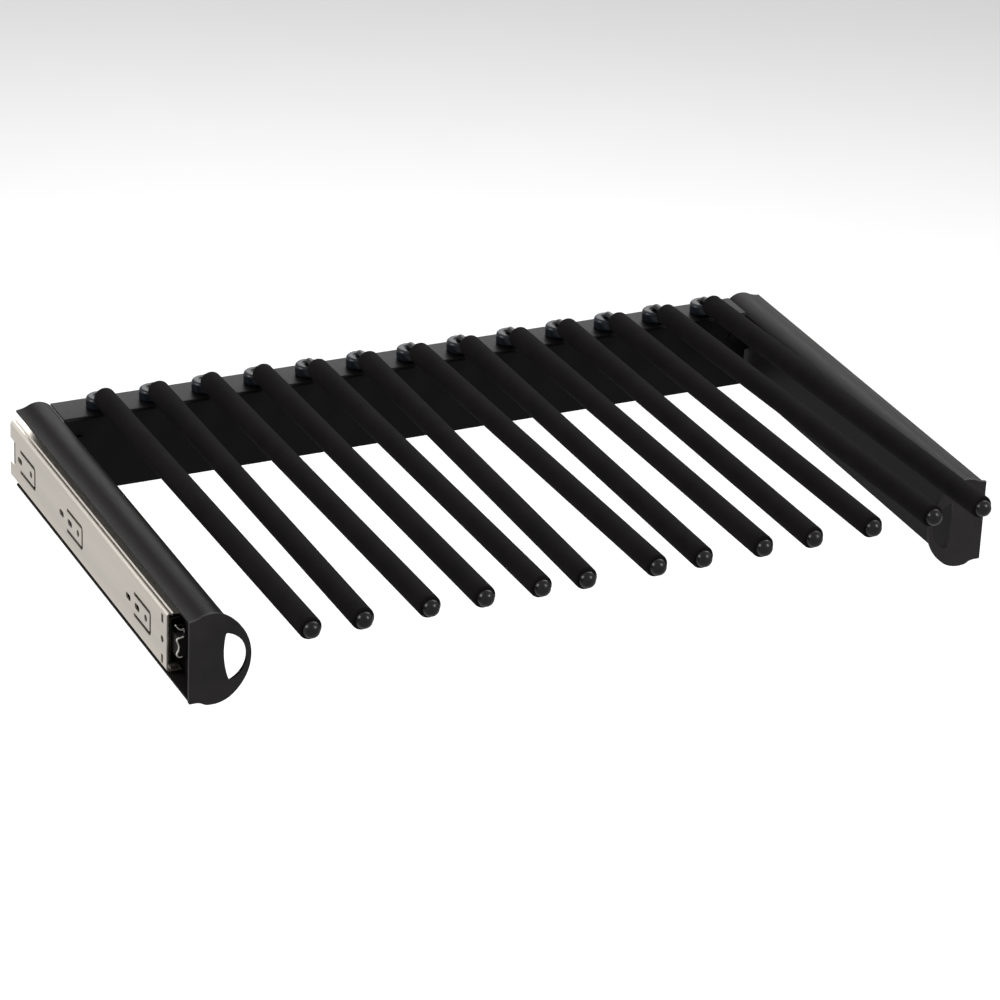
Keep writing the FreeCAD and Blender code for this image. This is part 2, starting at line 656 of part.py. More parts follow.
def make_slide_screws():
    """Screws that hold each inner slide member to the rail's seat wall."""
    screws = []
    for side, sign in SIDES.items():
        for number in range(SLIDE_SCREWS):
            length = "slide_wall + rail_wall + screw_point"
            screw = make_screw(f"slide_screw_{side}_{number + 1}", "slide_screw", length, "slide_screw_head",
                               "slide_screw_head_rise")
            aim_screw(screw, across(side, "slide_depth - slide_wall"),
                      f"slide_screw_first + {number} * slide_screw_pitch", "0", "0; 1; 0", f"{-90 * sign}")
            screws.append(screw)
    return add_group("slide_screws", screws)


def make_buffers():
    """Plastic blocks in the front ends of the inner slide members."""
    buffers = []
    for side in SIDES:
        body = add_body(f"buffer_{side}")
        back = "buffer_grip + buffer_reach"
        near, far = "buffer_inset", "slide_depth - slide_wall"
        corners = [(near, "buffer_nose"), (f"{near} + buffer_nose", "0"),
                   (far, "0"), (far, back), (near, back)]
        sketch = add_sketch(body, "XY_Plane", f"{body.Name}_section")
        add_outline(sketch, [(across(side, u), y) for u, y in corners])
        add_pad(body, sketch, "buffer_height", f"{body.Name}_pad")
        add_placement(body, y="-buffer_reach", z="-buffer_height / 2")
        buffers.append(body)
    return add_group("slide_buffers", buffers)


def make_bushes():
    """Domed bushes on the flange, one for each arm."""
    bushes = []
    for number in range(ARM_COUNT):
        body = add_body(f"bush_{number + 1:02d}")
        outline = [(WIRE_BORE, "-sheet_wall"), ("spigot / 2", "-sheet_wall"), ("spigot / 2", "0"),
                   ("bush_foot / 2", "0"), ("bush_foot / 2", "bush_foot_height"),
                   ("bush_head / 2", "bush_foot_height"), ("bush_head / 2", "bush_head_top - bush_round"),
                   ("bush_head / 2 - bush_round", "bush_head_top"),
                   (f"{WIRE_BORE} + bush_sink / 2", "bush_head_top"), (WIRE_BORE, BUSH_CROWN)]
        sketch = add_sketch(body, "XZ_Plane", f"{body.Name}_section")
        add_outline(sketch, outline, {6: ("bush_round", 1)})
        add_turning(body, sketch, "V_Axis", f"{body.Name}_turning")
        add_placement(body, arm_x(number), SWIVEL_Y, "flange_level")
        bushes.append(body)
    return add_group("swivel_bushes", bushes)


def make_washers():
    """Washers under the flange, above each riveted leg end."""
    washers = []
    for number in range(ARM_COUNT):
        body = add_body(f"washer_{number + 1:02d}")
        sketch = add_sketch(body, "XY_Plane", f"{body.Name}_section")
        add_circle(sketch, "0", "0", "washer / 2", "rimc")
        add_circle(sketch, "0", "0", WIRE_BORE, "borec")
        add_pad(body, sketch, "washer_height", f"{body.Name}_pad")
        add_placement(body, arm_x(number), SWIVEL_Y, f"flange_level - {WASHER_LOW}")
        washers.append(body)
    return add_group("leg_washers", washers)


def make_wire(number):
    """Bent wire of one arm: a riveted leg, a bend and the long rising arm."""
    body = add_body(f"arm_wire_{number + 1:02d}")
    reach = "(arm_length + ball_grip)"
    path = [("0", "0"), ("0", f"{CORNER} - {BEND_LENGTH}"),
            (f"-{BEND_LENGTH} * cos(arm_tilt)", f"{CORNER} + {BEND_LENGTH} * sin(arm_tilt)"),
            (f"-{reach} * cos(arm_tilt)", f"{CORNER} + {reach} * sin(arm_tilt)")]
    spine = add_sketch(body, "YZ_Plane", f"{body.Name}_path")
    add_outline(spine, path, {1: ("wire_bend", 1)}, closed=False)
    section = add_sketch(body, "XY_Plane", f"{body.Name}_section")
    add_circle(section, "0", "0", "wire / 2", "wirec")
    pipe = body.newObject("PartDesign::AdditivePipe", f"{body.Name}_pipe")
    pipe.Profile = section
    pipe.Spine = spine
    rivet = add_sketch(body, "XY_Plane", f"{body.Name}_rivet_section")
    add_circle(rivet, "0", "0", "rivet / 2", "rivetc")
    add_pad(body, rivet, "rivet_height", f"{body.Name}_rivet")
    add_placement(body, arm_x(number), SWIVEL_Y, LEG_FOOT, f"{ARM_ANGLES[number]}")
    return body


def place_on_arm(body, number):
    """Lay a piece that was turned about Y along its arm."""
    add_placement(body, arm_x(number), SWIVEL_Y, "flange_level + arm_rise", f"{ARM_ANGLES[number]}",
                  "-arm_tilt")


def make_sleeve(number):
    """Rubber sleeve over the arm, rounded at both ends."""
    body = add_body(f"arm_sleeve_{number + 1:02d}")
    front, rear = "-(arm_length - ball_seat)", f"({SLEEVE_SLIPS[number]} - sleeve_rear_gap)"
    bore, skin = "wire / 2 + sleeve_play", "sleeve / 2"
    outline = [(front, bore), (rear, bore), (rear, f"{skin} - sleeve_round"),
               (f"{rear} - sleeve_round", skin), (f"{front} + sleeve_round", skin),
               (front, f"{skin} - sleeve_round")]
    sketch = add_sketch(body, "YZ_Plane", f"{body.Name}_section")
    add_outline(sketch, outline, {2: ("sleeve_round", 1), 4: ("sleeve_round", 1)})
    add_turning(body, sketch, "H_Axis", f"{body.Name}_turning")
    place_on_arm(body, number)
    return body


def make_ball(number):
    """Ball at the arm's tip, flat where it meets the sleeve."""
    body = add_body(f"arm_ball_{number + 1:02d}")
    middle = "-arm_length"
    flat, pole = f"{middle} + ball_seat", f"{middle} - tip_ball / 2"
    floor, bore = f"{middle} - ball_grip", "wire / 2 + sleeve_play"
    seat = "sqrt(tip_ball * tip_ball / 4 - ball_seat * ball_seat)"
    outline = [(pole, "0"), (floor, "0"), (floor, bore), (flat, bore), (flat, seat)]
    sketch = add_sketch(body, "YZ_Plane", f"{body.Name}_section")
    add_outline(sketch, outline, {4: ("tip_ball / 2", 1)})
    add_turning(body, sketch, "H_Axis", f"{body.Name}_turning")
    place_on_arm(body, number)
    return body


nodes = []
for side_name in SIDES:
    nodes.append(make_cabinet_member(side_name))
    nodes.append(make_middle_member(side_name))
    nodes.append(make_rack_member(side_name))
    nodes.append(make_cage(side_name, "outer_cage", "slide_wall + running_gap", "outer_cage_tip", BALL_ROW,
                           "outer_ball_inset"))
    nodes.append(make_cage(side_name, "inner_cage", INNER_CAGE_WEB, "outer_flange", INNER_ROW,
                           "inner_ball_inset"))
    nodes.append(make_rail(side_name))
    nodes.append(make_cap(side_name))
nodes.append(make_back_plate())
nodes.append(make_brackets())
nodes.append(make_plate_screws())
nodes.append(make_slide_screws())
nodes.append(make_buffers())
nodes.append(make_bushes())
nodes.append(make_washers())
for arm in range(ARM_COUNT):
    nodes.append(make_wire(arm))
    nodes.append(make_sleeve(arm))
    nodes.append(make_ball(arm))

document.recompute()

for item in document.Objects:
    if "Invalid" in item.State or "Error" in item.State:
        raise RuntimeError(f"{item.Name} failed: {item.State}")
    if item.TypeId == "PartDesign::Pocket" and item.Shape.Volume > item.BaseFeature.Shape.Volume - 0.01:
        raise RuntimeError(f"{item.Name} cuts nothing")
for node in nodes:
    if node.Shape.isNull() or not node.Shape.isValid():
        raise RuntimeError(f"{node.Label} has no sound shape")

os.makedirs("parts", exist_ok=True)
for node in nodes:
    node.Shape.exportStep(f"parts/{node.Label}.step")
    print(node.Label, len(node.Shape.Solids), f"{node.Shape.Volume:.1f}")
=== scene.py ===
"""Finish of the pull-out trouser rack: rubber-sleeved arms, black extruded rails, zinc slides.

The frame gives every piece's place. Each surface built here is worked out with numpy from the frame's
boxes and the sizes in RackSizes, in metres; the slides and fasteners keep their CAD shapes.
"""
import json
import math

import bmesh
import bpy
import numpy as np
from mathutils import Matrix, Vector
from mathutils.geometry import tessellate_polygon


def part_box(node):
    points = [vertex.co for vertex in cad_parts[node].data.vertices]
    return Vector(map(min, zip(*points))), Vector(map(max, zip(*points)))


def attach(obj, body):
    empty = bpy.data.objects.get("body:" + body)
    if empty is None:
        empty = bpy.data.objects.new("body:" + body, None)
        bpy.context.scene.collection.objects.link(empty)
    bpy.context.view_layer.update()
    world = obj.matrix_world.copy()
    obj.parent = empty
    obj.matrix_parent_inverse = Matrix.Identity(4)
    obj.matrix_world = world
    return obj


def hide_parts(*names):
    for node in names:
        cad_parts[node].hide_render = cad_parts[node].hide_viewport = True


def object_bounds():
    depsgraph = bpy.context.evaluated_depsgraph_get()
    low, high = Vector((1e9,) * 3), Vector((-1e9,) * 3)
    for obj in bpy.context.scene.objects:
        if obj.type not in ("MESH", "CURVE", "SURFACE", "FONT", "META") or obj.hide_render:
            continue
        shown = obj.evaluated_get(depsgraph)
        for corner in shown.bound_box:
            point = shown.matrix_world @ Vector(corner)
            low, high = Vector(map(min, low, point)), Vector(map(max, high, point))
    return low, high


bl_info = {
    "name": "Trouser rack",
    "version": (1, 0, 0),
    "blender": (4, 5, 0),
    "location": "View3D > Sidebar > Trouser rack",
    "description": "Builds the surfaces and finishes of a pull-out trouser rack",
    "category": "Object",
}

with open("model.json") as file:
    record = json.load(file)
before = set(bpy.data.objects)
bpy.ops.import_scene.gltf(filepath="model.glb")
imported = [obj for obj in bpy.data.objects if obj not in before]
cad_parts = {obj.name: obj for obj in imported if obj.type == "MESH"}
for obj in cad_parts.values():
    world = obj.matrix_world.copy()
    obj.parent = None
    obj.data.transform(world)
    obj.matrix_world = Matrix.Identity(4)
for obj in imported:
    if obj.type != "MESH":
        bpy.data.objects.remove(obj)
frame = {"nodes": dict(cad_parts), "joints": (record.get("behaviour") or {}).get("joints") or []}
CAD_LOW, CAD_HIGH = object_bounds()
MM = 0.001
# edges where faces turn by more than the first angle stay sharp, and by more than the second
# are rounded
SHARP_ANGLE, ROUNDED_ANGLE = math.radians(35.0), math.radians(40.0)
# radius in metres under which a turned profile closes in a pole
POLE_RADIUS = 1e-9
# which way an arc bends on its way from one point to the next
LEFT, RIGHT = 1, -1
# steps over a cut edge, and over the wider rounding of an end cap
CUT_SEGMENTS, CAP_SEGMENTS = 2, 3
# sign of X on either side of the rack
SIDES = {"left": -1, "right": 1}
# the joints that the arms swivel on
ARMS = [joint for joint in frame["joints"] if joint["name"].startswith("arm_swivel")]
# from the rack's middle to the side panel
HALF_WIDTH = CAD_HIGH.x


def linear(code):
    """Turn an sRGB hex value into linear red, green and blue."""
    parts = [int(code[place:place + 2], 16) / 255 for place in (0, 2, 4)]
    return tuple(part / 12.92 if part <= 0.04045 else ((part + 0.055) / 1.055) ** 2.4
                 for part in parts)


def size_property(name, description, millimetres):
    """A length in metres whose default is given in millimetres."""
    return bpy.props.FloatProperty(name=name, description=description, default=millimetres * MM,
                                   min=0.0, unit="LENGTH", precision=5)


def colour_property(name, description, code):
    """A colour whose default is an sRGB hex value."""
    return bpy.props.FloatVectorProperty(name=name, description=description, default=linear(code),
                                         size=3, min=0.0, max=1.0, subtype="COLOR")


class RackSizes(bpy.types.PropertyGroup):
    """Sizes of the surfaces that the frame's boxes don't give."""
    wire: size_property("Wire", "Diameter of the arms' bent wire", 5.0)
    wire_bend: size_property("Wire bend", "Radius of the wire's bend at its middle line", 4.0)
    arm_rise: size_property("Arm rise", "Height of the arm over the flange at its swivel", 11.5)
    rivet: size_property("Rivet", "Diameter of the riveted foot of each wire", 7.0)
    rivet_height: size_property("Rivet height", "Height of the riveted foot", 1.4)
    rivet_edge: size_property("Rivet edge", "Bevel of the riveted foot", 0.3)
    sleeve: size_property("Sleeve", "Diameter of the rubber sleeves", 16.4)
    sleeve_round: size_property("Sleeve rounding", "Rounding of the sleeves' ends", 2.0)
    ball: size_property("Ball", "Diameter of the balls at the tips", 12.0)
    ball_seat: size_property("Ball seat", "Distance from the ball's middle back to the sleeve", 0.8)
    spigot: size_property("Spigot", "Diameter of the bush's spigot in the flange", 8.0)
    bush_foot: size_property("Bush foot", "Diameter of the bush's foot", 16.0)
    bush_foot_height: size_property("Bush foot height", "Height of the bush's foot", 1.0)
    bush_head: size_property("Bush head", "Diameter of the bush's head", 19.4)
    bush_head_top: size_property("Bush top", "Height of the bush over the flange", 8.75)
    bush_round: size_property("Bush rounding", "Rounding of the bush's upper edge", 2.75)
    bush_sink: size_property("Bush countersink", "Widening of the bush's bore at its top", 3.5)
    bush_edge: size_property("Bush edge", "Small rounding of the bush's other edges", 0.4)
    bush_play: size_property("Bush play", "Gap between the wire and the bush's bore", 0.05)
    sheet: size_property("Sheet", "Thickness of the back plate", 1.5)
    sheet_bend: size_property("Sheet bend", "Outer radius of the back plate's fold", 2.5)
    sheet_edge: size_property("Sheet edge", "Rounding of the back plate's cut edges", 0.25)
    rail_wall: size_property("Rail wall", "Wall of the rails' extrusion", 1.5)
    rail_edge: size_property("Rail edge", "Rounding of the rails' cut edges", 0.4)
    rail_inset: size_property("Rail inset", "Gap between the rail's lips and the side panel", 1.0)
    rail_corner: size_property("Rail corner", "Radius of the rail's lower inner corner", 2.5)
    rail_lip: size_property("Rail lip", "Height of the rail's outer lip over the slides' middle",
                            35.5)
    rail_waist: size_property("Rail waist", "Width of the rail below its crown", 25.0)
    crown_lip: size_property("Crown lip", "Height of the crown's inner edge", 1.8)
    shoulder_drop: size_property("Shoulder drop",
                                 "Drop of the crown's inner edge below the outer lip", 0.6)
    hump_inset: size_property("Hump inset",
                              "Distance from the side panel to the join of the crown's arcs", 10.0)
    hump_rise: size_property("Hump rise", "Height of that join over the outer lip", 2.3)
    hump_radius: size_property("Hump radius", "Radius of the crown's hump", 14.5)
    hollow_radius: size_property("Hollow radius", "Radius of the crown's hollow at the outer lip",
                                 22.0)
    slide_depth: size_property("Slide depth", "Depth of the slide in its rail", 12.7)
    cap: size_property("Cap", "Thickness of the end caps", 2.5)
    cap_edge: size_property("Cap edge", "Rounding of the end caps' edges", 0.8)
    spring: size_property("Spring", "Thickness of the latch springs", 0.8)


class RackColours(bpy.types.PropertyGroup):
    """Colours of the finishes."""
    rubber: colour_property("Rubber", "Sleeves", "121010")
    ball: colour_property("Ball plastic", "Balls at the tips", "111012")
    bush: colour_property("Bush plastic", "Swivel bushes", "10151c")
    anodised: colour_property("Anodised aluminium", "Side rails", "171414")
    cap: colour_property("Cap plastic", "End caps and buffers", "1e1b1c")
    powder: colour_property("Powder coat", "Back plate, brackets and their screws", "0c0b0c")
    zinc: colour_property("Zinc", "Cabinet members of the slides", "eee7dc")
    # the members and cages inside the slides are zinc plated like the cabinet members: this darker
    # colour is painted shade
    greased: colour_property("Greased zinc", "Members and ball cages inside the slides", "4c4a46")
    steel: colour_property("Bright steel", "Slide screws and washers", "9b9a97")
    # pale and lit evenly: a painted highlight in place of the glints of bent steel
    spring: colour_property("Spring steel", "Latch springs", "e6e3dc")
    blackened: colour_property("Blackened steel", "Wires of the arms", "181717")
    floor: colour_property("Floor", "Studio floor", "ffffff")


class RackStage(bpy.types.PropertyGroup):
    """Camera and light of the studio."""
    focal_length: bpy.props.FloatProperty(name="Focal length", default=162.252,
                                          description="Focal length in millimetres")
    power: bpy.props.FloatProperty(name="Power", default=30.0, subtype="POWER",
                                   description="Power of a whole soft box, in watts")
    distance: size_property("Distance", "Distance of the soft boxes from the rack", 2500.0)
    sky: bpy.props.FloatProperty(name="Sky", default=0.55,
                                 description="Strength of the even light from all round")
    floor_gap: size_property("Floor gap", "Distance of the floor below the rack", 700.0)


# small tools for meshes

def arc(start, finish, radius, turn, count):
    """Points of the smaller arc from start to finish, without the first one.

    The centre lies beside the chord's middle, at the height that Pythagoras gives; the angle then
    runs evenly from start to finish. turn is LEFT or RIGHT.
    """
    start, finish = np.array(start, float), np.array(finish, float)
    chord = finish - start
    length = np.hypot(*chord)
    rise = math.sqrt(max(radius ** 2 - length ** 2 / 4, 0.0))
    centre = (start + finish) / 2 + turn * rise * np.array([-chord[1], chord[0]]) / length
    sweep = turn * 2 * math.asin(min(1.0, length / 2 / radius))
    first = math.atan2(start[1] - centre[1], start[0] - centre[0])
    angles = first + sweep * np.linspace(0, 1, count + 1)[1:]
    return centre + radius * np.stack([np.cos(angles), np.sin(angles)], axis=1)


def outline(steps):
    """Join points and arcs into one closed loop.

    Each step is a point, or (point, radius, turn, count) for an arc that arrives at the point.
    """
    points = []
    for step in steps:
        if len(step) == 2:
            points.append(np.array([step], float))
        else:
            points.append(arc(points[-1][-1], *step))
    return np.concatenate(points)


def turn_outward(mesh):
    """Turn a closed mesh's faces outwards."""
    shell = bmesh.new()
    shell.from_mesh(mesh)
    bmesh.ops.recalc_face_normals(shell, faces=shell.faces)
    shell.to_mesh(mesh)
    shell.free()


def add_mesh(name, vertices, faces, body, material, replaced, slot):
    """Make a mesh object of a closed surface. It rides on a body and stands for CAD nodes, if any."""
    mesh = bpy.data.meshes.new(name)
    mesh.from_pydata(vertices, [], faces)
    mesh.validate()
    mesh.update()
    mesh.shade_smooth()
    turn_outward(mesh)
    mesh.set_sharp_from_angle(angle=SHARP_ANGLE)
    piece = bpy.data.objects.new(name, mesh)
    bpy.context.scene.collection.objects.link(piece)
    mesh.materials.append(material)
    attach(piece, body)
    if replaced:
        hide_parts(*replaced)
    return piece


def turned(profile, steps):
    """Vertices of a profile turned about the first axis, and the vertex numbers of each ring.

    profile holds (distance along the axis a, radius r). Its point makes the ring
    (a, r cos t, r sin t) with t = 2 pi k / steps; a point of no radius becomes one shared pole.
    """
    angles = 2 * np.pi * np.arange(steps) / steps
    vertices, rings, count = [], [], 0
    for along, radius in profile:
        if radius < POLE_RADIUS:
            vertices.append([[along, 0, 0]])
            rings.append(np.full(steps, count))
            count += 1
        else:
            ring = [np.full(steps, along), radius * np.cos(angles), radius * np.sin(angles)]
            vertices.append(np.stack(ring, axis=1))
            rings.append(count + np.arange(steps))
            count += steps
    return np.concatenate(vertices), rings


def join_parts(parts):
    """Vertices and faces of several parts as one mesh."""
    faces, offset = [], 0
    for vertices, part_faces in parts:
        faces += [[index + offset for index in face] for face in part_faces]
        offset += len(vertices)
    return np.concatenate([vertices for vertices, part_faces in parts]), faces


def ring_faces(rings, closed):
    """Quads between neighbouring rings, with triangles where a pole's number repeats.

    closed joins the last ring to the first.
    """
    faces = []
    pairs = list(zip(rings, rings[1:])) + ([(rings[-1], rings[0])] if closed else [])
    for low, high in pairs:
        quads = np.stack([low, np.roll(low, -1), np.roll(high, -1), high], axis=1)
        faces += [list(dict.fromkeys(quad)) for quad in quads.tolist()]
    return faces


def tube_faces(rows, sides):
    """Faces of a tube whose rings have the same number of sides, with both ends closed."""
    rings = [sides * row + np.arange(sides) for row in range(rows)]
    return ring_faces(rings, False) + [rings[0].tolist()[::-1], rings[-1].tolist()]


def extruded(loops, start, finish, place):
    """Vertices and faces of flat loops pushed from start to finish.

    The first loop is the rim and the others are holes. place turns a loop's flat points and a
    depth into X, Y and Z.
    """
    flat = np.concatenate(loops)
    count = len(flat)
    vertices = np.concatenate([place(flat, start), place(flat, finish)])
    faces, offset = [], 0
    for loop in loops:
        ids = offset + np.arange(len(loop))
        following = np.roll(ids, -1)
        faces += np.stack([ids, following, following + count, ids + count], axis=1).tolist()
        offset += len(loop)
    lids = tessellate_polygon([[Vector((a, b, 0)) for a, b in loop] for loop in loops])
    faces += [list(lid) for lid in lids]
    faces += [[index + count for index in reversed(lid)] for lid in lids]
    return vertices, faces


def soften(piece, width, segments):
    """Round a piece's sharp edges a little, as a tool or a press leaves them."""
    bevel = piece.modifiers.new("edge", "BEVEL")
    bevel.width = width
    bevel.segments = segments
    bevel.limit_method = "ANGLE"
    bevel.angle_limit = ROUNDED_ANGLE
    bevel.harden_normals = False


# materials

# most of a noise texture lies between these values
NOISE_LOW, NOISE_HIGH = 0.3, 0.7
# size of the broad colour change over that of the fine grain
BROAD = 40
# change of roughness to either side
ROUGHNESS_CHANGE = 0.05


def add_node(tree, kind, links=None, inputs=None):
    """Add a node, set its inputs, and link other nodes' outputs to its inputs."""
    node = tree.nodes.new(kind)
    for key, setting in (inputs or {}).items():
        node.inputs[key].default_value = setting
    for key, socket in (links or {}).items():
        tree.links.new(socket, node.inputs[key])
    return node


def start_material(name):
    """Start an empty material and give its tree, its shader and its object coordinates."""
    material = bpy.data.materials.new(name)
    material.use_nodes = True
    tree = material.node_tree
    tree.nodes.clear()
    shader = add_node(tree, "ShaderNodeBsdfPrincipled")
    add_node(tree, "ShaderNodeOutputMaterial", links={"Surface": shader.outputs["BSDF"]})
    place = add_node(tree, "ShaderNodeTexCoord")
    return material, tree, shader, place.outputs["Object"]


def grain(tree, place, size, stretch, detail):
    """Noise whose blobs are about size metres across and drawn out where stretch is small."""
    mapping = add_node(tree, "ShaderNodeMapping", links={"Vector": place},
                       inputs={"Scale": stretch})
    noise = add_node(tree, "ShaderNodeTexNoise", links={"Vector": mapping.outputs["Vector"]},
                     inputs={"Scale": 1 / size, "Detail": detail, "Roughness": 0.5})
    return noise.outputs["Fac"]


def speckled(name, colour, size, roughness, relief, variation=0.15, metallic=0.0, specular=0.5,
             stretch=(1, 1, 1)):
    """A finish with fine grain.

    Roughness and relief follow fine noise, and colour follows broad noise. size is the grain's
    width and relief its height, both in millimetres. The colour wanders between 1 - variation
    and 1 + variation times the given one.
    """
    material, tree, shader, place = start_material(name)
    fine = grain(tree, place, size * MM, stretch, detail=3.0)
    broad = grain(tree, place, size * MM * BROAD, stretch, detail=2.0)
    ramp = add_node(tree, "ShaderNodeValToRGB", links={"Fac": broad})
    ends = zip(ramp.color_ramp.elements, (1 - variation, 1 + variation), (NOISE_LOW, NOISE_HIGH))
    for element, factor, position in ends:
        element.color = (*[min(1.0, channel * factor) for channel in colour], 1.0)
        element.position = position
    dull = add_node(tree, "ShaderNodeMapRange", links={"Value": fine},
                    inputs={"From Min": NOISE_LOW, "From Max": NOISE_HIGH,
                            "To Min": roughness - ROUGHNESS_CHANGE,
                            "To Max": roughness + ROUGHNESS_CHANGE})
    raised = add_node(tree, "ShaderNodeBump", links={"Height": fine},
                      inputs={"Strength": 1.0, "Distance": relief * MM})
    for key, socket in (("Base Color", ramp.outputs["Color"]),
                        ("Roughness", dull.outputs["Result"]),
                        ("Normal", raised.outputs["Normal"])):
        tree.links.new(socket, shader.inputs[key])
    shader.inputs["Metallic"].default_value = metallic
    shader.inputs["Specular IOR Level"].default_value = specular
    return material


def make_materials(colours):
    """Make every finish of the rack."""
    # extruded rubber tube: dull all over, with a faint talc bloom
    speckled("Extruded rubber", colours.rubber, size=0.6, roughness=0.8, relief=0.04,
             specular=0.04)
    # polished moulding: two soft round highlights
    speckled("Polished ABS", colours.ball, size=2.0, roughness=0.27, relief=0.002, specular=0.3)
    # blue-black moulding with a soft shine on its rounded edge
    speckled("Moulded polyamide", colours.bush, size=1.5, roughness=0.35, relief=0.004,
             specular=0.3)
    # extrusion lines along Y under a satin black oxide
    speckled("Black anodised aluminium", colours.anodised, size=0.5, roughness=0.5, relief=0.006,
             specular=0.1, stretch=(1, 0.02, 1))
    # spark-eroded moulding: dull and even
    speckled("Matt moulded ABS", colours.cap, size=0.35, roughness=0.55, relief=0.01,
             specular=0.25)
    # baked powder: faint orange peel
    speckled("Black powder coat", colours.powder, size=1.2, roughness=0.4, relief=0.01,
             specular=0.1)
    # zinc plated cold-rolled strip: pale and warm, with rolling lines along Y
    speckled("Zinc plated steel", colours.zinc, size=0.5, roughness=0.42, relief=0.004,
             metallic=1.0, stretch=(1, 0.06, 1), variation=0.06)
    # the same zinc plated strip inside the slide, its colour darkened to grey as painted shade, and
    # dull
    speckled("Greased zinc plated steel", colours.greased, size=0.5, roughness=0.5, relief=0.004,
             metallic=1.0, stretch=(1, 0.06, 1), variation=0.06)
    # bent spring strip: pale and barely metallic, so that the whole strip looks bright as a painted
    # highlight, with a soft shine
    speckled("Spring steel", colours.spring, size=0.4, roughness=0.35, relief=0.002, metallic=0.2,
             variation=0.05)
    # bright screws and washers
    speckled("Bright steel", colours.steel, size=0.4, roughness=0.25, relief=0.003, metallic=1.0,
             variation=0.08)
    # oil-blackened wire: a dull sheen
    speckled("Blackened steel", colours.blackened, size=0.8, roughness=0.4, relief=0.006,
             metallic=0.2)


# short names of the finishes and the names of their materials
FINISH_NAMES = {
    "rubber_sleeve": "Extruded rubber", "ball_plastic": "Polished ABS",
    "bush_plastic": "Moulded polyamide", "anodised": "Black anodised aluminium",
    "cap_plastic": "Matt moulded ABS", "powder": "Black powder coat",
    "zinc": "Zinc plated steel", "greased": "Greased zinc plated steel",
    "spring": "Spring steel", "steel": "Bright steel", "blackened": "Blackened steel",
}


def finish(name):
    """Fetch a finish that was made before."""
    return bpy.data.materials[FINISH_NAMES[name]]


def paint(node, name):
    """Give a CAD node a finish."""
    item = frame["nodes"][node]
    item.data.materials.clear()
    item.data.materials.append(finish(name))


class RACK_OT_finishes(bpy.types.Operator):
    """Make every finish"""
    bl_idname = "rack.finishes"
    bl_label = "Finishes"

    def execute(self, context):
        make_materials(context.scene.rack_colours)
        return {"FINISHED"}


# arms

# points around each sleeve, ball, wire and bush
SLEEVE_SIDES, BALL_SIDES, WIRE_SIDES, BUSH_SIDES = 56, 48, 24, 48
# points along a sleeve, round its ends, over a ball and round a wire's bend
SLEEVE_STEPS, END_STEPS, BALL_STEPS, BEND_STEPS = 24, 6, 28, 14
# share of the rivet's bevel between its top and the first ring of the thin wire above
RIVET_STEP = 0.1
# depth of a bush's countersink over its width
SINK_DEPTH = 0.8


def arm_frame(joint, sizes):
    """Number of an arm, its wire's corner, the unit vector along it and its reach to the ball."""
    number = joint["name"][-2:]
    low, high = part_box(f"arm_ball_{number}")
    ball = np.array([(low.x + high.x) / 2, low.y + sizes.ball / 2, (low.z + high.z) / 2])
    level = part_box("back_plate")[1].z + sizes.arm_rise
    corner = np.array([*joint["pos_m"][:2], level])
    reach = ball - corner
    length = np.linalg.norm(reach)
    return number, corner, reach / length, length


def on_axis(vertices, origin, along):
    """Lay vertices that were turned about the first axis along a direction from a point."""
    side = np.cross(along, [0, 0, 1.0])
    side /= np.linalg.norm(side)
    up = np.cross(side, along)
    return origin + vertices @ np.stack([along, side, up])


def sleeve_profile(near, far, bore, radius, rounding):
    """Closed section of a sleeve: bore, flat ends, quarter rounds and the long straight skin."""
    skin = np.linspace(near + rounding, far - rounding, SLEEVE_STEPS)[1:]
    near_end = [(near, bore), (near, radius - rounding),
                ((near + rounding, radius), rounding, RIGHT, END_STEPS)]
    far_end = [((far, radius - rounding), rounding, RIGHT, END_STEPS), (far, bore)]
    return outline(near_end + [(along, radius) for along in skin] + far_end)


def ball_profile(middle, radius, seat):
    """Half section of a ball with a flat seat, from the seat's centre round to the pole.

    The curve is (middle + r cos t, r sin t), from the t where r cos t = -seat down to 0.
    """
    angles = np.linspace(math.acos(-seat / radius), 0, BALL_STEPS)
    curve = np.stack([middle + radius * np.cos(angles), radius * np.sin(angles)], axis=1)
    return np.concatenate([[[middle - seat, 0]], curve])


def wire_path(corner, along, sizes, foot, reach):
    """Middle line of the wire, its radius at each point and the normal of the line's plane.

    The line rises from the riveted foot, goes round the bend on an arc of a circle that touches
    the leg and the arm, and runs out along the arm.
    """
    bend = sizes.wire_bend
    lean = math.asin(along[2])
    tangent = bend * math.tan(math.pi / 4 - lean / 2)
    level = np.array([along[0], along[1], 0]) / math.hypot(along[0], along[1])
    centre = corner + np.array([0, 0, -tangent]) + level * bend
    angles = np.linspace(0, math.pi / 2 - lean, BEND_STEPS)[:, None]
    curve = centre + bend * (-np.cos(angles) * level + np.sin(angles) * np.array([0, 0, 1.0]))
    edge, rivet = sizes.rivet_edge, sizes.rivet_height
    thin, wide = sizes.wire / 2, sizes.rivet / 2
    rises = foot + np.array([0, edge, rivet - edge, rivet, rivet + RIVET_STEP * edge])
    leg = np.stack([np.full(len(rises), corner[0]), np.full(len(rises), corner[1]), rises], axis=1)
    rivet_radii = [wide - edge, wide, wide, wide - edge]
    path = np.concatenate([leg, curve, (corner + reach * along)[None]])
    radii = np.concatenate([rivet_radii, np.full(len(path) - len(rivet_radii), thin)])
    return path, radii, np.cross(level, [0, 0, 1.0])


